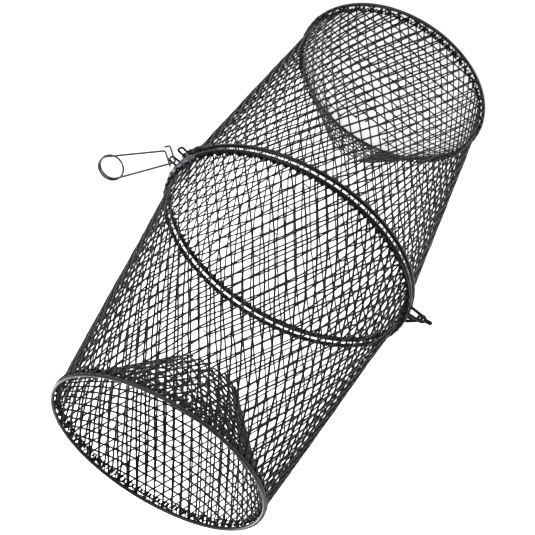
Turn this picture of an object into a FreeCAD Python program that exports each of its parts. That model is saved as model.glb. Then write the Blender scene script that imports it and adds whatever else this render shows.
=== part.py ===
import FreeCAD, Part
import math
import os
from FreeCAD import Vector

# A two-piece expanded-mesh crayfish and crab trap, standing upright on its lower end hoop.
# Millimetres. Origin: centre of the circle on which the lower end hoop stands.
# +Z runs up the trap's axis, the hinge is at -X and the clip is on the +X side.

# Driving dimensions
overall_length = 428.0
rim_radius = 112.0          # centre line of the big hoops where the two halves meet
rim_wire = 1.75             # wire radius of the rim hoops, vinyl coat included
rim_offset = 3.0            # each rim hoop's distance from the middle plane
end_radius = 89.4           # centre line of the small hoops at both ends
end_wire = 1.6              # wire radius of the end hoops
skin = 1.3                  # thickness of the expanded-metal sheet with its vinyl coat

# Sleeve outline, from the end hoop to the rim
tuck_height = 4.4           # where the mesh leaves the end hoop
waist_radius = 87.6         # where the mesh draws in behind the end hoop
waist_height = 9.0
shoulder_radius = 107.4     # where the straight cone ends and the flare to the rim begins
shoulder_drop = 20.0        # shoulder's distance from the middle plane
flare_radius = 111.4
flare_drop = 6.0

# Entrance funnel
funnel_depth = 78.0
funnel_mouth_radius = 27.0
funnel_lip = 5.0            # short straight mouth at the funnel's inner end

# Hinge, on the -X side
eye_wire = 1.3
eye_bar_radius = 124.0      # distance of the hinge bar from the trap's axis
eye_bar_half = 4.0
eye_foot_half = 8.0
eye_bend = 1.6
hook_gap = 0.35             # running clearance between hinge bar and hook
hook_foot_half = 6.5
hook_crown_shift = 1.2      # the stem's legs meet this far inside the ring's top
hook_bore = 12.0            # length of the bore that keeps the ring clear of the bar
tail_wire = 1.9
tail_end_radius = 133.5

# Clip ears, one on each rim
ear_wire = 1.0
ear_half = 3.6
ear_bend = 1.9
ear_root = 0.5              # the ear's ends reach this far inside the rim's centre line
ear_bar_radius = 121.5
lid_ear_azimuth = -23.0
base_ear_azimuth = -27.4

# Clip: one spring wire bent to a long link, closed by its hooked ends
clip_wire = 0.85
clip_rise = 52.5            # angle of the clip above the horizontal, degrees
clip_coil_radius = 10.0
clip_coil_pitch = 3.0
clip_coil_centre = 56.1     # from the clip's closing bar to the coil's centre
clip_coil_shift = 1.3
clip_half_width = 5.7
clip_bar_to_ear = 2.15      # from the closing bar to the middle of the ear's bar
clip_second_bar = 4.5       # from the closing bar to the second bar
clip_side_step = 1.05       # each bar runs this far to one side of the clip's middle plane
clip_bar_shift = -1.0        # the clip hangs off centre on the ear by this much
clip_bend = 1.5
clip_hook_reach = 2.9       # the closing bar passes the latch leg by this much
clip_curl = 4.6             # length of the hooked tip over the latch leg
latch_gap = 0.3             # the coil ends this far before the latch leg
clip_bar_overlap = 2.2      # the second bar passes the lower leg by this much
coil_arcs = 6

# Staples that close the overlapped seams
staple_wire = 0.6
staple_length = 9.0
staple_clear = 0.15
staple_bend = 20.0
sleeve_seam_azimuth = 71.0
base_funnel_seam = 97.0     # azimuth of the lower funnel's seam
lid_funnel_seam = -97.0     # and of the upper funnel's, on the other side

mid_z = overall_length / 2.0
axis_up = Vector(0, 0, 1)
trap_centre = Vector(0, 0, 0)


def polar(radius, azimuth, z):
    """Point at a distance from the trap's axis, an azimuth in degrees and a height."""
    a = math.radians(azimuth)
    return Vector(radius * math.cos(a), radius * math.sin(a), z)


def hoop(radius, wire, z):
    return Part.makeTorus(radius, wire, Vector(0, 0, z), axis_up)


def turned(outline):
    """Solid of revolution about the trap's axis from a closed outline of (radius, z)."""
    corners = [Vector(r, 0, z) for r, z in outline]
    face = Part.Face(Part.makePolygon(corners + corners[:1]))
    return face.revolve(trap_centre, axis_up, 360)


def thick_line(line, thickness):
    """Closed outline of even thickness about an open line of (radius, z) points."""
    left, right = [], []
    for i, (r, z) in enumerate(line):
        before = line[max(i - 1, 0)]
        after = line[min(i + 1, len(line) - 1)]
        dr, dz = after[0] - before[0], after[1] - before[1]
        size = math.hypot(dr, dz)
        nr, nz = -dz / size * thickness / 2.0, dr / size * thickness / 2.0
        left.append((r + nr, z + nz))
        right.append((r - nr, z - nz))
    return left + right[::-1]


def bent_edges(points, bend):
    """Straight runs that are joined by arcs of one bend radius."""
    edges = []
    start = points[0]
    for before, corner, after in zip(points, points[1:], points[2:]):
        way_in = (corner - before).normalize()
        way_out = (after - corner).normalize()
        turn = way_in.getAngle(way_out)
        cut = bend * math.tan(turn / 2.0)
        arc_start = corner - way_in * cut
        arc_end = corner + way_out * cut
        to_centre = (way_out - way_in).normalize()
        arc_middle = corner + to_centre * (bend / math.cos(turn / 2.0) - bend)
        edges.append(Part.makeLine(start, arc_start))
        edges.append(Part.Arc(arc_start, arc_middle, arc_end).toShape())
        start = arc_end
    edges.append(Part.makeLine(start, points[-1]))
    return edges


def round_wire(edges, wire):
    """Solid of round section along edges, of which the first is straight."""
    start = edges[0].Vertexes[0].Point
    heading = edges[0].Vertexes[-1].Point - start
    section = Part.Wire(Part.makeCircle(wire, start, heading))
    return Part.Wire(edges).makePipeShell([section], True, False)


def bent_wire(points, wire, bend):
    return round_wire(bent_edges(points, bend), wire)


def mirrored(shape):
    """The same piece on the other half of the trap."""
    return shape.mirror(Vector(0, 0, mid_z), axis_up)


# The two halves: sleeves, hoops and funnels
def rim_hoop(side):
    return hoop(rim_radius, rim_wire, mid_z + side * rim_offset)


def end_hoop():
    return hoop(end_radius, end_wire, end_wire)


sleeve_line = [
    (end_radius + end_wire + skin / 2.0, end_wire),
    (end_radius + end_wire, tuck_height),
    (waist_radius, waist_height),
    (shoulder_radius, mid_z - shoulder_drop),
    (flare_radius, mid_z - flare_drop),
    (rim_radius, mid_z - rim_offset),
]

funnel_line = [
    (end_radius, end_wire),
    (funnel_mouth_radius, funnel_depth - funnel_lip),
    (funnel_mouth_radius, funnel_depth),
]


def sleeve():
    body = turned(thick_line(sleeve_line, skin))
    return body.cut(rim_hoop(-1)).cut(end_hoop())


def funnel():
    body = turned(thick_line(funnel_line, skin))
    cleared = body.cut(end_hoop()).cut(turned(thick_line(sleeve_line, skin)))
    return max(cleared.Solids, key=lambda solid: solid.Volume)


def line_radius(line, z, offset):
    """Radius at a height, of a line that runs at an offset from a sleeve or funnel line."""
    for (r0, z0), (r1, z1) in zip(line, line[1:]):
        if z0 <= z <= z1 and z0 != z1:
            slant = math.hypot(r1 - r0, z1 - z0) / (z1 - z0)
            return r0 + (r1 - r0) * (z - z0) / (z1 - z0) + offset * slant
    return line[-1][0] + offset


def staples(line, heights, azimuth, side):
    """Short wires across an overlapped seam, lying on one side of the sheet."""
    pieces = []
    for z in heights:
        radius = line_radius(line, z, side * (skin / 2.0 + staple_wire + staple_clear))
        spread = math.degrees(staple_length / 2.0 / radius)
        middle = polar(radius / math.cos(math.radians(spread / 2.0)), azimuth, z)
        first = polar(radius, azimuth - spread, z)
        last = polar(radius, azimuth + spread, z)
        pieces.append(bent_wire([first, middle, last], staple_wire, staple_bend))
    return Part.makeCompound(pieces)


def seam_heights(first, step, count):
    return [first + step * k for k in range(count)]


sleeve_seam_heights = seam_heights(17.0, 30.0, 6)
funnel_seam_heights = seam_heights(14.0, 17.0, 4)


# Hinge: an eye on the lower rim, and a hook on the upper rim that turns round the eye's bar
hinge_z = mid_z - rim_offset
hook_radius = eye_wire + hook_gap + eye_wire
hinge_centre = Vector(-eye_bar_radius, 0, hinge_z)


def hinge_eye():
    """Trapezium of wire from the lower rim, whose straight outer bar is the hinge pin."""
    foot = -math.sqrt(rim_radius ** 2 - eye_foot_half ** 2)
    corners = [
        Vector(foot, -eye_foot_half, hinge_z),
        Vector(-eye_bar_radius, -eye_bar_half, hinge_z),
        Vector(-eye_bar_radius, eye_bar_half, hinge_z),
        Vector(foot, eye_foot_half, hinge_z),
    ]
    return bent_wire(corners, eye_wire, eye_bend).cut(rim_hoop(-1))


def hinge_hook():
    """Ring round the hinge bar, with a two-legged stem to the upper rim and a tail."""
    ring = Part.makeTorus(hook_radius, eye_wire, hinge_centre, Vector(0, 1, 0))
    rim_x = -math.sqrt(rim_radius ** 2 - hook_foot_half ** 2)
    crown = hinge_centre + Vector(hook_crown_shift, 0, hook_radius)
    stem = None
    for side in (-1, 1):
        foot = Vector(rim_x, side * hook_foot_half, mid_z + rim_offset)
        leg = Part.makeCylinder(eye_wire, (foot - crown).Length, crown, foot - crown)
        stem = leg if stem is None else stem.fuse(leg)
    knuckle = Part.makeSphere(eye_wire, crown)
    tail_start = hinge_centre + Vector(-hook_radius, 0, 0)
    tail_length = tail_end_radius - tail_wire - eye_bar_radius - hook_radius
    tail = Part.makeCylinder(tail_wire, tail_length, tail_start, Vector(-1, 0, 0))
    tip = Part.makeSphere(tail_wire, tail_start + Vector(-tail_length, 0, 0))
    bore_start = hinge_centre - Vector(0, hook_bore / 2.0, 0)
    bore = Part.makeCylinder(eye_wire + hook_gap, hook_bore, bore_start, Vector(0, 1, 0))
    solid = ring.multiFuse([stem, knuckle, tail, tip]).cut(bore)
    return solid.cut(rim_hoop(1)).removeSplitter()


# Ears
def ear(azimuth, z, rim):
    """Hairpin of wire that stands out level from a rim."""
    out = polar(1.0, azimuth, 0)
    along = polar(1.0, azimuth + 90.0, 0)
    height = Vector(0, 0, z)
    foot = rim_radius - ear_root
    corners = [
        out * foot - along * ear_half + height,
        out * ear_bar_radius - along * ear_half + height,
        out * ear_bar_radius + along * ear_half + height,
        out * foot + along * ear_half + height,
    ]
    return bent_wire(corners, ear_wire, ear_bend).cut(rim)


# Clip, drawn in its own plane: a runs from the ear to the coil, b runs across the clip
clip_out = polar(1.0, lid_ear_azimuth, 0)
clip_side = polar(1.0, lid_ear_azimuth + 90.0, 0)
rise = math.radians(clip_rise)
clip_a = clip_out * math.cos(rise) + axis_up * math.sin(rise)
clip_b = clip_out * -math.sin(rise) + axis_up * math.cos(rise)
ear_bar = clip_out * ear_bar_radius + Vector(0, 0, mid_z + rim_offset)
clip_origin = ear_bar - clip_a * clip_bar_to_ear + clip_b * clip_bar_shift
coil_rise = 1.5 * clip_coil_pitch


def clip_point(a, b, n):
    return clip_origin + clip_a * a + clip_b * b + clip_side * n


def tangent_turn(a, b):
    """Slope in radians of the line from a point on the clip that just touches the coil."""
    da, db = clip_coil_centre - a, clip_coil_shift - b
    lean = math.asin(clip_coil_radius / math.hypot(da, db))
    return math.atan2(db, da) + math.copysign(lean, b)


coil_start = -tangent_turn(0.0, clip_half_width)
coil_end = 3.0 * math.pi - tangent_turn(clip_second_bar, -clip_half_width)


def coil_point(turn):
    """Point on the coil, by the angle turned from the top of the coil towards its far side."""
    share = (turn - coil_start) / (coil_end - coil_start)
    return clip_point(clip_coil_centre + clip_coil_radius * math.sin(turn),
                      clip_coil_shift + clip_coil_radius * math.cos(turn),
                      coil_rise * (share - 0.5))


def clip_spring():
    """Hooked closing bar, lower leg and a coil of one and a half turns, in one wire."""
    tip = clip_point(clip_curl, -clip_half_width - clip_hook_reach, 0.0)
    points = [
        tip,
        clip_point(0.0, -clip_half_width - clip_hook_reach, -clip_side_step),
        clip_point(0.0, clip_half_width, -clip_side_step),
        coil_point(coil_start),
    ]
    edges = bent_edges(points, clip_bend)
    step = (coil_end - coil_start) / coil_arcs
    for k in range(coil_arcs):
        turn = coil_start + k * step
        arc = Part.Arc(coil_point(turn), coil_point(turn + step / 2.0), coil_point(turn + step))
        edges.append(arc.toShape())
    return round_wire(edges, clip_wire)


def clip_latch_leg():
    """Upper leg and second bar, which passes beside the lower leg."""
    corner = clip_point(clip_second_bar, -clip_half_width, clip_side_step)
    way = (corner - coil_point(coil_end)).normalize()
    points = [
        coil_point(coil_end) + way * latch_gap,
        corner,
        clip_point(clip_second_bar, clip_half_width + clip_bar_overlap, clip_side_step),
    ]
    return bent_wire(points, clip_wire, clip_bend)


def build():
    base_sleeve = sleeve()
    base_funnel = funnel()
    sleeve_staples = staples(sleeve_line, sleeve_seam_heights, sleeve_seam_azimuth, 1)
    base_funnel_staples = staples(funnel_line, funnel_seam_heights, base_funnel_seam, -1)
    lid_funnel_staples = staples(funnel_line, funnel_seam_heights, lid_funnel_seam, -1)
    return {
        "base_sleeve": base_sleeve,
        "base_rim_hoop": rim_hoop(-1),
        "base_end_hoop": end_hoop(),
        "base_funnel": base_funnel,
        "base_sleeve_staples": sleeve_staples,
        "base_funnel_staples": base_funnel_staples,
        "base_hinge_eye": hinge_eye(),
        "base_clip_ear": ear(base_ear_azimuth, mid_z - rim_offset, rim_hoop(-1)),
        "lid_sleeve": mirrored(base_sleeve),
        "lid_rim_hoop": rim_hoop(1),
        "lid_end_hoop": mirrored(end_hoop()),
        "lid_funnel": mirrored(base_funnel),
        "lid_sleeve_staples": mirrored(sleeve_staples),
        "lid_funnel_staples": mirrored(lid_funnel_staples),
        "lid_hinge_hook": hinge_hook(),
        "lid_clip_ear": ear(lid_ear_azimuth, mid_z + rim_offset, rim_hoop(1)),
        "clip_spring": clip_spring(),
        "clip_latch_leg": clip_latch_leg(),
    }


os.makedirs("parts", exist_ok=True)
for name, shape in build().items():
    volume = sum(solid.Volume for solid in shape.Solids)
    print(name, "solids", len(shape.Solids), "valid", shape.isValid(), "volume", round(volume, 1))
    shape.exportStep("parts/" + name + ".step")
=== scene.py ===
import math

import bpy
import numpy as np
from mathutils import Matrix, Vector


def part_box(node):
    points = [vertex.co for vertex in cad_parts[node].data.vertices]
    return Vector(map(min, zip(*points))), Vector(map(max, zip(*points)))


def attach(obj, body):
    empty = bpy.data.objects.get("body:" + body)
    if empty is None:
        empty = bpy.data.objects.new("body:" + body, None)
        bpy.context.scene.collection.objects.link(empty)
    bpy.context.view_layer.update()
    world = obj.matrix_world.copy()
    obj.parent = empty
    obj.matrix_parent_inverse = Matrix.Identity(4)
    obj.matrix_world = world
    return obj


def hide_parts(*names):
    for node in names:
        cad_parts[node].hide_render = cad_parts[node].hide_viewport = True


# A two-piece crayfish and crab trap of vinyl-dipped expanded-metal mesh.
# Metres, in the frame of the CAD model: the trap stands on its lower end hoop, +Z up its axis.
# The upper half has the lower half's shape, turned over about the X axis.

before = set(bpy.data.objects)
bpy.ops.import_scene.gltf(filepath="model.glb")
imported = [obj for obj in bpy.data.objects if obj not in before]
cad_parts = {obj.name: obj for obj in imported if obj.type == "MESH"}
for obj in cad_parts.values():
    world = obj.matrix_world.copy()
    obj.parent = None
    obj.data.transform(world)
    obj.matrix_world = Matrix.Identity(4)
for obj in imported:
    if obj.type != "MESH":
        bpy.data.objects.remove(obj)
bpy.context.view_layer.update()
rng = np.random.default_rng(11)

MM = 0.001
TURN = 2 * math.pi


# Sizes taken from the CAD model
def span(node):
    """Lowest and highest corner of a CAD node, as arrays."""
    low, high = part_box(node)
    return np.array(low), np.array(high)


rim_low, rim_high = span("base_rim_hoop")
lid_rim_low, lid_rim_high = span("lid_rim_hoop")
end_low, end_high = span("base_end_hoop")
funnel_top = span("base_funnel")[1][2]
rim_wire = (rim_high[2] - rim_low[2]) / 2
rim_radius = rim_high[0] - rim_wire
rim_z = (rim_high[2] + rim_low[2]) / 2
lid_rim_z = (lid_rim_high[2] + lid_rim_low[2]) / 2
mid_z = (rim_z + lid_rim_z) / 2
end_wire = (end_high[2] - end_low[2]) / 2
end_radius = end_high[0] - end_wire

# Mesh strands
strand_half_width = 0.76 * MM
strand_half_thick = 0.58 * MM
knot_swell = 1.3

# Sleeve mesh: its lattice, how its strands swell and thin, and how far it is out of true.
# The end hoop cuts the first row of diamonds at foot_cut of the way from knot to knot.
diamonds_round = 68
diamond_length = 15.6 * MM
sleeve_tilt = math.radians(-38)
tilt_start = 8.0 * MM
foot_cut = 0.5
foot_thin = 0.45
foot_contact = 3.0 * MM
rim_swell = 2.8
rim_web = 8.0 * MM
knot_slip = 0.22 * MM
knot_turn = 0.0022
knot_lift = 0.12 * MM
sway = 0.0035
sway_waves = 30
dent = 0.35 * MM
dent_waves = 22
dent_free = 20.0 * MM

# Sleeve line, from the end hoop to the rim
hoop_wrap_start = -20
hoop_wrap_stop = 30
hoop_wrap_points = 3
hoop_wrap_sink = 0.3 * MM
wrap_exit_out = 0.6 * MM
wrap_exit_up = 3.6 * MM
waist_radius = 87.6 * MM
waist_height = 9.0 * MM
waist_spread = 1.1 * MM
shoulder_radius = 107.4 * MM
shoulder_drop = 20.0 * MM
flare_radius = 111.2 * MM
flare_drop = 6.0 * MM

# Funnel mesh: the two funnels' sheets are cut at different angles and dipped unequally
funnel_mouth_radius = 27.0 * MM
funnel_lip = 2.0 * MM
funnel_seam = math.radians(98)
funnel_tilt = math.radians(-20)
funnel_slip = 0.12 * MM
funnel_shortest = 4
lattice_pitch = 7.3 * MM
lattice_half_angle = math.radians(31)
lattice_turn = {"base": math.radians(14), "lid": math.radians(28)}
funnel_strand = {"base": 0.84, "lid": 1.15}

# Hoops and the azimuths of their welds
hoop_steps = 288
hoop_sides = 14
hoop_wobble = 0.12 * MM
hoop_rise = 0.06 * MM
weld_swell = 0.22
weld_reach = 3.0 * MM
rim_weld = math.radians(40)
end_weld = {"base": math.radians(-24), "lid": math.radians(24)}


def smooth_line(points, steps=24):
    """Dense points along a Catmull-Rom curve through (radius, height) points."""
    pts = np.array(points, float)
    pts = np.vstack([2 * pts[0] - pts[1], pts, 2 * pts[-1] - pts[-2]])
    out = []
    for a, b, c, d in zip(pts, pts[1:], pts[2:], pts[3:]):
        for t in np.linspace(0, 1, steps, endpoint=False):
            out.append(0.5 * (2 * b + (c - a) * t + (2 * a - 5 * b + 4 * c - d) * t * t
                              + (3 * b - a - 3 * c + d) * t ** 3))
    out.append(pts[-2])
    return np.array(out)


class Line:
    """A sleeve's (radius, height) line, read by the distance along it."""

    def __init__(self, points):
        self.points = points
        steps = np.hypot(*np.diff(points, axis=0).T)
        self.along = np.concatenate([[0], np.cumsum(steps)])
        self.length = self.along[-1]
        self.slope = np.gradient(points, self.along, axis=0)

    def at(self, s):
        return (np.interp(s, self.along, self.points[:, 0]),
                np.interp(s, self.along, self.points[:, 1]))

    def normal(self, s):
        """Outward (radius, height) direction square to the line."""
        dr = np.interp(s, self.along, self.slope[:, 0])
        dz = np.interp(s, self.along, self.slope[:, 1])
        size = np.hypot(dr, dz)
        return dz / size, -dr / size


def hoop_wrap(reach):
    """Arc of (radius, height) round the outside of the end hoop's wire."""
    angles = np.radians(np.linspace(hoop_wrap_start, hoop_wrap_stop, hoop_wrap_points))
    return [(end_radius + reach * math.cos(a), end_wire + reach * math.sin(a)) for a in angles]


sleeve_line = Line(smooth_line(hoop_wrap(end_wire - hoop_wrap_sink) + [
    (end_radius + wrap_exit_out, end_wire + wrap_exit_up),
    (waist_radius, waist_height),
    (waist_radius + waist_spread, 2 * waist_height),
    (shoulder_radius, mid_z - shoulder_drop),
    (flare_radius, mid_z - flare_drop),
    (rim_radius, rim_z),
]))


# Mesh making
def new_piece(name, points, faces):
    mesh = bpy.data.meshes.new(name)
    mesh.from_pydata(points.tolist(), [], faces)
    mesh.validate()
    mesh.shade_smooth()
    piece = bpy.data.objects.new(name, mesh)
    bpy.context.scene.collection.objects.link(piece)
    return piece


class Tubes:
    """Collects swept strands of oval section and makes one mesh of them."""

    def __init__(self, sides=6):
        self.sides = sides
        self.points = []
        self.faces = []
        self.count = 0

    def add(self, centres, normals, half_width, half_thick, tilt):
        """One strand, its section turned by the tilt about the strand's own line."""
        centres = np.asarray(centres, float)
        ahead = np.gradient(centres, axis=0)
        ahead /= np.linalg.norm(ahead, axis=1)[:, None]
        side = np.cross(normals, ahead)
        side /= np.linalg.norm(side, axis=1)[:, None]
        up = np.cross(ahead, side)
        lean_cos = np.cos(tilt)[:, None]
        lean_sin = np.sin(tilt)[:, None]
        wide = side * lean_cos + up * lean_sin
        thin = up * lean_cos - side * lean_sin
        angles = np.arange(self.sides) * TURN / self.sides
        rings = (centres[:, None, :]
                 + wide[:, None, :] * (half_width[:, None] * np.cos(angles))[:, :, None]
                 + thin[:, None, :] * (half_thick[:, None] * np.sin(angles))[:, :, None])
        total = len(centres) * self.sides
        ids = self.count + np.arange(total).reshape(len(centres), self.sides)
        after = np.roll(ids, -1, axis=1)
        quads = np.stack([ids[:-1], after[:-1], after[1:], ids[1:]], axis=-1).reshape(-1, 4)
        self.faces.extend(quads.tolist())
        self.faces.append(ids[0][::-1].tolist())
        self.faces.append(ids[-1].tolist())
        self.points.append(rings.reshape(-1, 3))
        self.count += total

    def make(self, name):
        return new_piece(name, np.vstack(self.points), self.faces)


def on_sleeve(s, azimuth, lift):
    """Points and outward normals on the lower sleeve, at distances along its line."""
    r, z = sleeve_line.at(s)
    nr, nz = sleeve_line.normal(s)
    c = np.cos(azimuth)
    n = np.sin(azimuth)
    normals = np.stack([nr * c, nr * n, nz], axis=-1)
    points = np.stack([r * c, r * n, z], axis=-1) + normals * lift[:, None]
    return points, normals


def turned_over(points, normals):
    """The same points on the upper half of the trap."""
    return points * [1, -1, -1] + [0, 0, 2 * mid_z], normals * [1, -1, -1]


def strand_sizes(past_knot):
    """Half widths and half thicknesses along a strand that swells at each knot.

    past_knot is the distance past the last knot, as a share of the way to the next one.
    """
    nearest = np.minimum(np.abs(past_knot), 1 - np.abs(past_knot))
    near_knot = np.cos(nearest * math.pi) ** 8
    width = strand_half_width * (1 + (knot_swell - 1) * near_knot)
    thick = strand_half_thick * (1 + (knot_swell - 1) / 2 * near_knot)
    return width, thick


def sleeve_swell(s):
    """How much a sleeve's strands thicken with vinyl at the rim and thin at the end hoop."""
    to_rim = np.clip(1 - (sleeve_line.length - s) / rim_web, 0, 1) ** 1.5
    return (1 + (rim_swell - 1) * to_rim) * np.clip(s / foot_contact, foot_thin, 1)


def sleeve_knots(rows):
    """Distance along the line, azimuth and lift of every knot, a little out of true."""
    row_step = sleeve_line.length / (rows - foot_cut)
    row = np.arange(rows + 1)
    column = np.arange(diamonds_round)
    s = (row - foot_cut)[None, :] * row_step + np.zeros((diamonds_round, 1))
    theta = (column[:, None] + (row % 2)[None, :] / 2) * TURN / diamonds_round
    inner = np.ones(rows + 1)
    inner[[0, -1]] = 0
    s = s + rng.normal(0, knot_slip, s.shape) * inner
    theta = theta + rng.normal(0, knot_turn, theta.shape)
    theta = theta + sway * np.sin(3 * theta + 1.0) * np.sin(s * sway_waves)
    lift = rng.normal(0, knot_lift, s.shape) + dent * np.sin(2 * theta + s * dent_waves)
    from_ends = np.minimum(s, sleeve_line.length - s)
    return s, theta, lift * np.clip(from_ends / dent_free, 0, 1)


def sleeve_mesh(name, upper):
    """Diamond mesh of one sleeve: two families of strands that meet at shared knots."""
    rows = int(round(sleeve_line.length / (diamond_length / 2)))
    s_knot, theta_knot, lift_knot = sleeve_knots(rows)
    knots = np.arange(rows + 1)
    cuts = np.array([0.0, 0.2, 0.5, 0.8])
    places = np.concatenate([(np.arange(rows)[:, None] + cuts).ravel(), [rows]])
    places = places[places >= foot_cut]
    tubes = Tubes()
    for family in (1, -1):
        steps_round = knots // 2 if family == 1 else -((knots + 1) // 2)
        for start in range(diamonds_round):
            column = start + steps_round
            picks = (column % diamonds_round, knots)
            theta = theta_knot[picks] + column // diamonds_round * TURN
            s = np.interp(places, knots, s_knot[picks])
            azimuth = np.interp(places, knots, theta)
            lift = np.interp(places, knots, lift_knot[picks])
            width, thick = strand_sizes(places % 1.0)
            swell = sleeve_swell(s)
            tilt = sleeve_tilt * np.clip(s / tilt_start, 0, 1)
            points, normals = on_sleeve(s, azimuth, lift)
            if upper:
                points, normals = turned_over(points, normals)
            tubes.add(points, normals, width * swell, thick * np.sqrt(swell), tilt)
    return tubes.make(name)


def funnel_mesh(name, half):
    """Flat diamond mesh rolled into a cone: its strands run straight on the flat sheet."""
    wide = np.array([end_radius - 0.4 * end_wire, end_wire])
    small = np.array([funnel_mouth_radius, funnel_top - funnel_lip])
    slant = np.linalg.norm(wide - small)
    opening = (wide[0] - small[0]) / slant
    outer = wide[0] / opening
    inner = small[0] / opening
    half_sector = math.pi * opening
    normal_r = (small[1] - wide[1]) / slant
    normal_z = (wide[0] - small[0]) / slant
    reach = int(outer / lattice_pitch) + 2
    places = np.arange(-4 * reach, 4 * reach + 1) / 4
    tubes = Tubes()
    for family in (1, -1):
        heading = math.pi / 2 + family * lattice_half_angle + lattice_turn[half]
        along = np.array([math.cos(heading), math.sin(heading)])
        across = np.array([-along[1], along[0]])
        crossing = family * 2 * lattice_half_angle
        for k in range(-reach, reach + 1):
            offset = (k + 0.5) * lattice_pitch
            t = (places * lattice_pitch - offset * math.cos(crossing)) / math.sin(crossing)
            order = np.argsort(t)
            t = t[order]
            past_knot = (places[order] - 0.5) - np.round(places[order] - 0.5)
            flat = along * t[:, None] + across * offset
            flat = flat + rng.normal(0, funnel_slip, flat.shape)
            distance = np.hypot(flat[:, 0], flat[:, 1])
            angle = np.arctan2(flat[:, 1], flat[:, 0])
            keep = (distance < outer) & (distance > inner) & (np.abs(angle) < half_sector)
            runs = np.split(np.arange(len(t)), np.nonzero(np.diff(keep.astype(int)))[0] + 1)
            for run in runs:
                if not keep[run[0]] or len(run) < funnel_shortest:
                    continue
                share = (distance[run] - inner) / (outer - inner)
                r = small[0] + (wide[0] - small[0]) * share
                z = small[1] + (wide[1] - small[1]) * share
                theta = angle[run] / opening + funnel_seam + math.pi
                c = np.cos(theta)
                n = np.sin(theta)
                points = np.stack([r * c, r * n, z], axis=-1)
                normals = np.stack([normal_r * c, normal_r * n, normal_z + 0 * c], axis=-1)
                if half == "lid":
                    points, normals = turned_over(points, normals)
                width, thick = strand_sizes(past_knot[run])
                size = funnel_strand[half]
                tubes.add(points, normals, width * size, thick * size,
                          np.full(len(run), funnel_tilt))
    return tubes.make(name)


def hoop_mesh(name, radius, wire, z, weld):
    """A hoop of round wire, a little uneven, with a low swelling where its ends are welded."""
    a = np.arange(hoop_steps) * TURN / hoop_steps
    phase = rng.uniform(0, TURN, 6)
    wobble = hoop_wobble * sum(np.sin((k + 2) * a + phase[k]) for k in range(3))
    rise = hoop_rise * sum(np.sin((k + 2) * a + phase[k + 3]) for k in range(3))
    from_weld = np.abs((a - weld + math.pi) % TURN - math.pi) * radius
    size = wire * (0.97 + 0.02 * np.sin(9 * a + phase[0]) + 0.01 * np.sin(31 * a + phase[1]))
    size = size * (1 + weld_swell * np.exp(-(from_weld / weld_reach) ** 4))
    b = np.arange(hoop_sides) * TURN / hoop_sides
    r = (radius + wobble)[:, None] + size[:, None] * np.cos(b)
    height = (z + rise)[:, None] + size[:, None] * np.sin(b)
    height = np.clip(height, 0, 2 * mid_z)
    points = np.stack([r * np.cos(a)[:, None], r * np.sin(a)[:, None], height], axis=-1)
    ids = np.arange(hoop_steps * hoop_sides).reshape(hoop_steps, hoop_sides)
    on = np.roll(ids, -1, axis=0)
    up = np.roll(ids, -1, axis=1)
    faces = np.stack([ids, on, np.roll(on, -1, axis=1), up], axis=-1).reshape(-1, 4)
    return new_piece(name, points.reshape(-1, 3), faces.tolist())


def rim_wraps(name, z, first, last, turns, wire):
    """The ear's wire end wound round a rim hoop, under an uneven coat."""
    count = turns * 16
    t = np.linspace(0, 1, count)
    azimuth = first + (last - first) * (t + 0.012 * np.sin(9 * t))
    spin = TURN * turns * t
    reach = rim_wire + wire * (0.6 + 0.2 * np.sin(11 * t + 1))
    r = rim_radius + reach * np.cos(spin)
    centres = np.stack([r * np.cos(azimuth), r * np.sin(azimuth), z + reach * np.sin(spin)], -1)
    outward = np.stack([np.cos(spin) * np.cos(azimuth), np.cos(spin) * np.sin(azimuth),
                        np.sin(spin)], -1)
    size = wire * (1 + 0.25 * np.sin(7 * t + 2))
    tubes = Tubes()
    tubes.add(centres, outward, size * 1.2, size, np.zeros(count))
    return tubes.make(name)


def rim_dip(name, z, first, last, lumps, reach, outward_shift=0.0):
    """A lumpy run of thick vinyl that has set round a rim hoop where an ear is bound to it."""
    count = 60
    t = np.linspace(0, 1, count)
    azimuth = np.linspace(first, last, count)
    start = 0.8 * rim_wire
    swelling = np.clip(np.minimum(t, 1 - t) * 6, 0, 1) ** 0.5
    size = start + (reach - start) * swelling * (0.8 + 0.2 * np.sin(lumps * TURN * t))
    r = rim_radius + 0.25 * MM * np.sin(lumps * 5 * t) + outward_shift
    centres = np.stack([r * np.cos(azimuth), r * np.sin(azimuth), z + 0 * r], -1)
    outward = np.stack([np.cos(azimuth), np.sin(azimuth), 0 * r], -1)
    tubes = Tubes(sides=12)
    tubes.add(centres, outward, size, size, np.zeros(count))
    return tubes.make(name)


# Materials
def material(name):
    mat = bpy.data.materials.new(name)
    mat.use_nodes = True
    return mat


def noise(nodes, scale, detail):
    texture = nodes.new("ShaderNodeTexNoise")
    texture.inputs["Scale"].default_value = scale
    texture.inputs["Detail"].default_value = detail
    return texture


def two_tints(nodes, dark, light):
    tint = nodes.new("ShaderNodeValToRGB")
    tint.color_ramp.elements[0].color = (*dark, 1)
    tint.color_ramp.elements[1].color = (*light, 1)
    return tint


def gloss_range(nodes, low, high):
    gloss = nodes.new("ShaderNodeMapRange")
    gloss.inputs["To Min"].default_value = low
    gloss.inputs["To Max"].default_value = high
    return gloss


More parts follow.
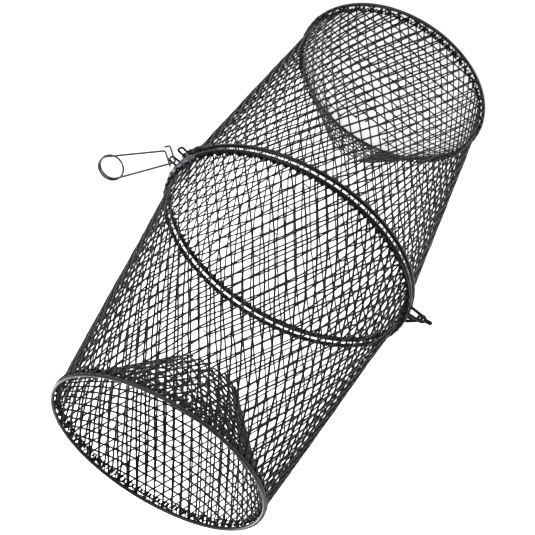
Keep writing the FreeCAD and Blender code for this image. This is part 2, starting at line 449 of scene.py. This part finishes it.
def vinyl(name, shade, rough, shine):
    """Dark dipped vinyl: lumpy and faintly blue, with greyer worn patches."""
    mat = material(name)
    nodes = mat.node_tree.nodes
    links = mat.node_tree.links
    shader = nodes["Principled BSDF"]
    coords = nodes.new("ShaderNodeTexCoord")
    patches = noise(nodes, 60.0, 3.0)
    lumps = noise(nodes, 700.0, 2.0)
    tint = two_tints(nodes, (shade * 0.6, shade * 0.66, shade * 0.76),
                     (shade * 1.6, shade * 1.78, shade * 2.05))
    gloss = gloss_range(nodes, rough - 0.08, rough + 0.12)
    bump = nodes.new("ShaderNodeBump")
    bump.inputs["Strength"].default_value = 0.25
    bump.inputs["Distance"].default_value = 0.0004
    links.new(coords.outputs["Object"], patches.inputs["Vector"])
    links.new(coords.outputs["Object"], lumps.inputs["Vector"])
    links.new(patches.outputs["Fac"], tint.inputs["Fac"])
    links.new(patches.outputs["Fac"], gloss.inputs["Value"])
    links.new(lumps.outputs["Fac"], bump.inputs["Height"])
    links.new(tint.outputs["Color"], shader.inputs["Base Color"])
    links.new(gloss.outputs["Result"], shader.inputs["Roughness"])
    links.new(bump.outputs["Normal"], shader.inputs["Normal"])
    shader.inputs["Specular IOR Level"].default_value = shine
    return mat


def steel(name, colour, rough):
    """Drawn wire with fine variation in colour and gloss."""
    mat = material(name)
    nodes = mat.node_tree.nodes
    links = mat.node_tree.links
    shader = nodes["Principled BSDF"]
    coords = nodes.new("ShaderNodeTexCoord")
    grain = noise(nodes, 900.0, 4.0)
    tint = two_tints(nodes, [c * 0.8 for c in colour], colour)
    gloss = gloss_range(nodes, rough - 0.05, rough + 0.12)
    links.new(coords.outputs["Object"], grain.inputs["Vector"])
    links.new(grain.outputs["Fac"], tint.inputs["Fac"])
    links.new(grain.outputs["Fac"], gloss.inputs["Value"])
    links.new(tint.outputs["Color"], shader.inputs["Base Color"])
    links.new(gloss.outputs["Result"], shader.inputs["Roughness"])
    shader.inputs["Metallic"].default_value = 1.0
    return mat


mesh_vinyl = vinyl("mesh_vinyl", 0.005, 0.38, 0.24)
wire_vinyl = vinyl("wire_vinyl", 0.006, 0.34, 0.30)
rim_vinyl = vinyl("rim_vinyl", 0.006, 0.24, 0.22)
end_vinyl = vinyl("end_vinyl", 0.012, 0.46, 0.50)
ear_vinyl = vinyl("ear_vinyl", 0.006, 0.34, 0.35)
# Painted highlight: the lid ear's lump of black vinyl is coloured grey where its coat catches
# the light.
painted_highlight_vinyl = vinyl("painted_highlight_vinyl", 0.075, 0.50, 0.35)
# Painted shade: the clip's steel is given a dark colour that stands in for the dark
# surroundings the bright wire reflects.
painted_shade_steel = steel("painted_shade_steel", (0.11, 0.113, 0.118), 0.13)
dull_steel = steel("dull_steel", (0.30, 0.31, 0.33), 0.40)


def paint(piece, mat):
    piece.data.materials.clear()
    piece.data.materials.append(mat)


def finish_piece(piece, mat, body, slot, *nodes):
    paint(piece, mat)
    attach(piece, body)
    if nodes:
        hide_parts(*nodes)


# Mesh and hoops of both halves
for body, upper in (("base", False), ("lid", True)):
    finish_piece(sleeve_mesh(body + "_sleeve_mesh", upper), mesh_vinyl, body,
                 "coated_mesh", body + "_sleeve")
    finish_piece(funnel_mesh(body + "_funnel_mesh", body), mesh_vinyl, body,
                 "coated_mesh", body + "_funnel")
    rim_height = lid_rim_z if upper else rim_z
    end_height = 2 * mid_z - end_wire if upper else end_wire
    finish_piece(hoop_mesh(body + "_rim_wire", rim_radius, rim_wire, rim_height, rim_weld),
                 rim_vinyl, body, "coated_wire", body + "_rim_hoop")
    finish_piece(hoop_mesh(body + "_end_wire", end_radius, end_wire, end_height,
                           end_weld[body]),
                 end_vinyl, body, "coated_wire", body + "_end_hoop")

# Wire turns and vinyl lumps that bind the two clip ears to the rims
finish_piece(rim_wraps("base_ear_wraps", rim_z, math.radians(-30), math.radians(-45),
                       turns=5, wire=0.70 * MM),
             ear_vinyl, "base", "coated_wire")
finish_piece(rim_dip("base_ear_dip", rim_z - 0.8 * MM, math.radians(-24), math.radians(-38),
                     lumps=3, reach=3.0 * MM, outward_shift=1.4 * MM),
             ear_vinyl, "base", "coated_wire")
# The lid ear's lump is coloured grey as a painted highlight.
finish_piece(rim_dip("lid_ear_dip", lid_rim_z, math.radians(-12), math.radians(-36),
                     lumps=4, reach=2.6 * MM),
             painted_highlight_vinyl, "lid", "coated_wire")

# The CAD parts, most of which show as they are
for name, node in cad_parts.items():
    if "staples" in name:
        paint(node, dull_steel)
    elif name.startswith("clip_"):
        # The clip's steel is coloured dark as painted shade.
        paint(node, painted_shade_steel)
    else:
        paint(node, wire_vinyl)

# Floor: plain, pale and softly glowing
floor_reach = 6.0
floor_corners = [(x * floor_reach, y * floor_reach, 0)
                 for x, y in ((-1, -1), (1, -1), (1, 1), (-1, 1))]
floor_mesh = bpy.data.meshes.new("floor")
floor_mesh.from_pydata(floor_corners, [], [(0, 1, 2, 3)])
floor = bpy.data.objects.new("floor", floor_mesh)
bpy.context.scene.collection.objects.link(floor)
floor_mat = material("floor")
floor_shader = floor_mat.node_tree.nodes["Principled BSDF"]
floor_shader.inputs["Base Color"].default_value = (0.80, 0.80, 0.80, 1)
floor_shader.inputs["Roughness"].default_value = 0.9
floor_shader.inputs["Specular IOR Level"].default_value = 0.1
floor_shader.inputs["Emission Color"].default_value = (1, 1, 1, 1)
floor_shader.inputs["Emission Strength"].default_value = 0.75
floor.data.materials.append(floor_mat)

# Dim white surroundings and three soft lamps
world = bpy.data.worlds.new("studio")
bpy.context.scene.world = world
bpy.context.scene.view_settings.view_transform = "Standard"
world.use_nodes = True
world.node_tree.nodes["Background"].inputs["Color"].default_value = (1.0, 1.0, 1.0, 1)
world.node_tree.nodes["Background"].inputs["Strength"].default_value = 0.30


def soft_light(name, place, size, power):
    """A square lamp, aimed at the middle of the trap; its power is in watts."""
    data = bpy.data.lights.new(name, "AREA")
    data.shape = "SQUARE"
    data.size = size
    data.energy = power
    lamp = bpy.data.objects.new(name, data)
    lamp.location = place
    lamp.visible_camera = False
    lamp.rotation_mode = "QUATERNION"
    lamp.rotation_quaternion = (Vector((0, 0, mid_z)) - Vector(place)).to_track_quat("-Z", "Y")
    bpy.context.scene.collection.objects.link(lamp)


soft_light("key", (0.9, -1.0, 1.5), size=0.9, power=14)
soft_light("side", (0.75, 1.4, 0.75), size=1.0, power=30)
soft_light("back", (-0.8, 1.1, 1.3), size=0.9, power=10)

# The camera looks down on the trap and is rolled, so the trap lies slantwise in the picture
camera_aim = Vector((0.0052, 0.0, 0.2363))
camera_distance = 1.0887
camera_bearing = math.radians(8.87)
camera_drop = math.radians(32.36)
camera_roll = math.radians(-147.52)
camera_ahead = Vector((math.sin(camera_bearing) * math.cos(camera_drop),
                       math.cos(camera_bearing) * math.cos(camera_drop),
                       -math.sin(camera_drop)))
camera_data = bpy.data.cameras.new("camera")
camera_data.sensor_width = 36.0
camera_data.lens = 90.18
camera = bpy.data.objects.new("camera", camera_data)
camera.rotation_mode = "QUATERNION"
camera.location = camera_aim - camera_ahead * camera_distance
level = camera_ahead.to_track_quat("-Z", "Y")
camera.rotation_quaternion = level @ Matrix.Rotation(camera_roll, 3, "Z").to_quaternion()
bpy.context.scene.collection.objects.link(camera)
bpy.context.scene.camera = camera
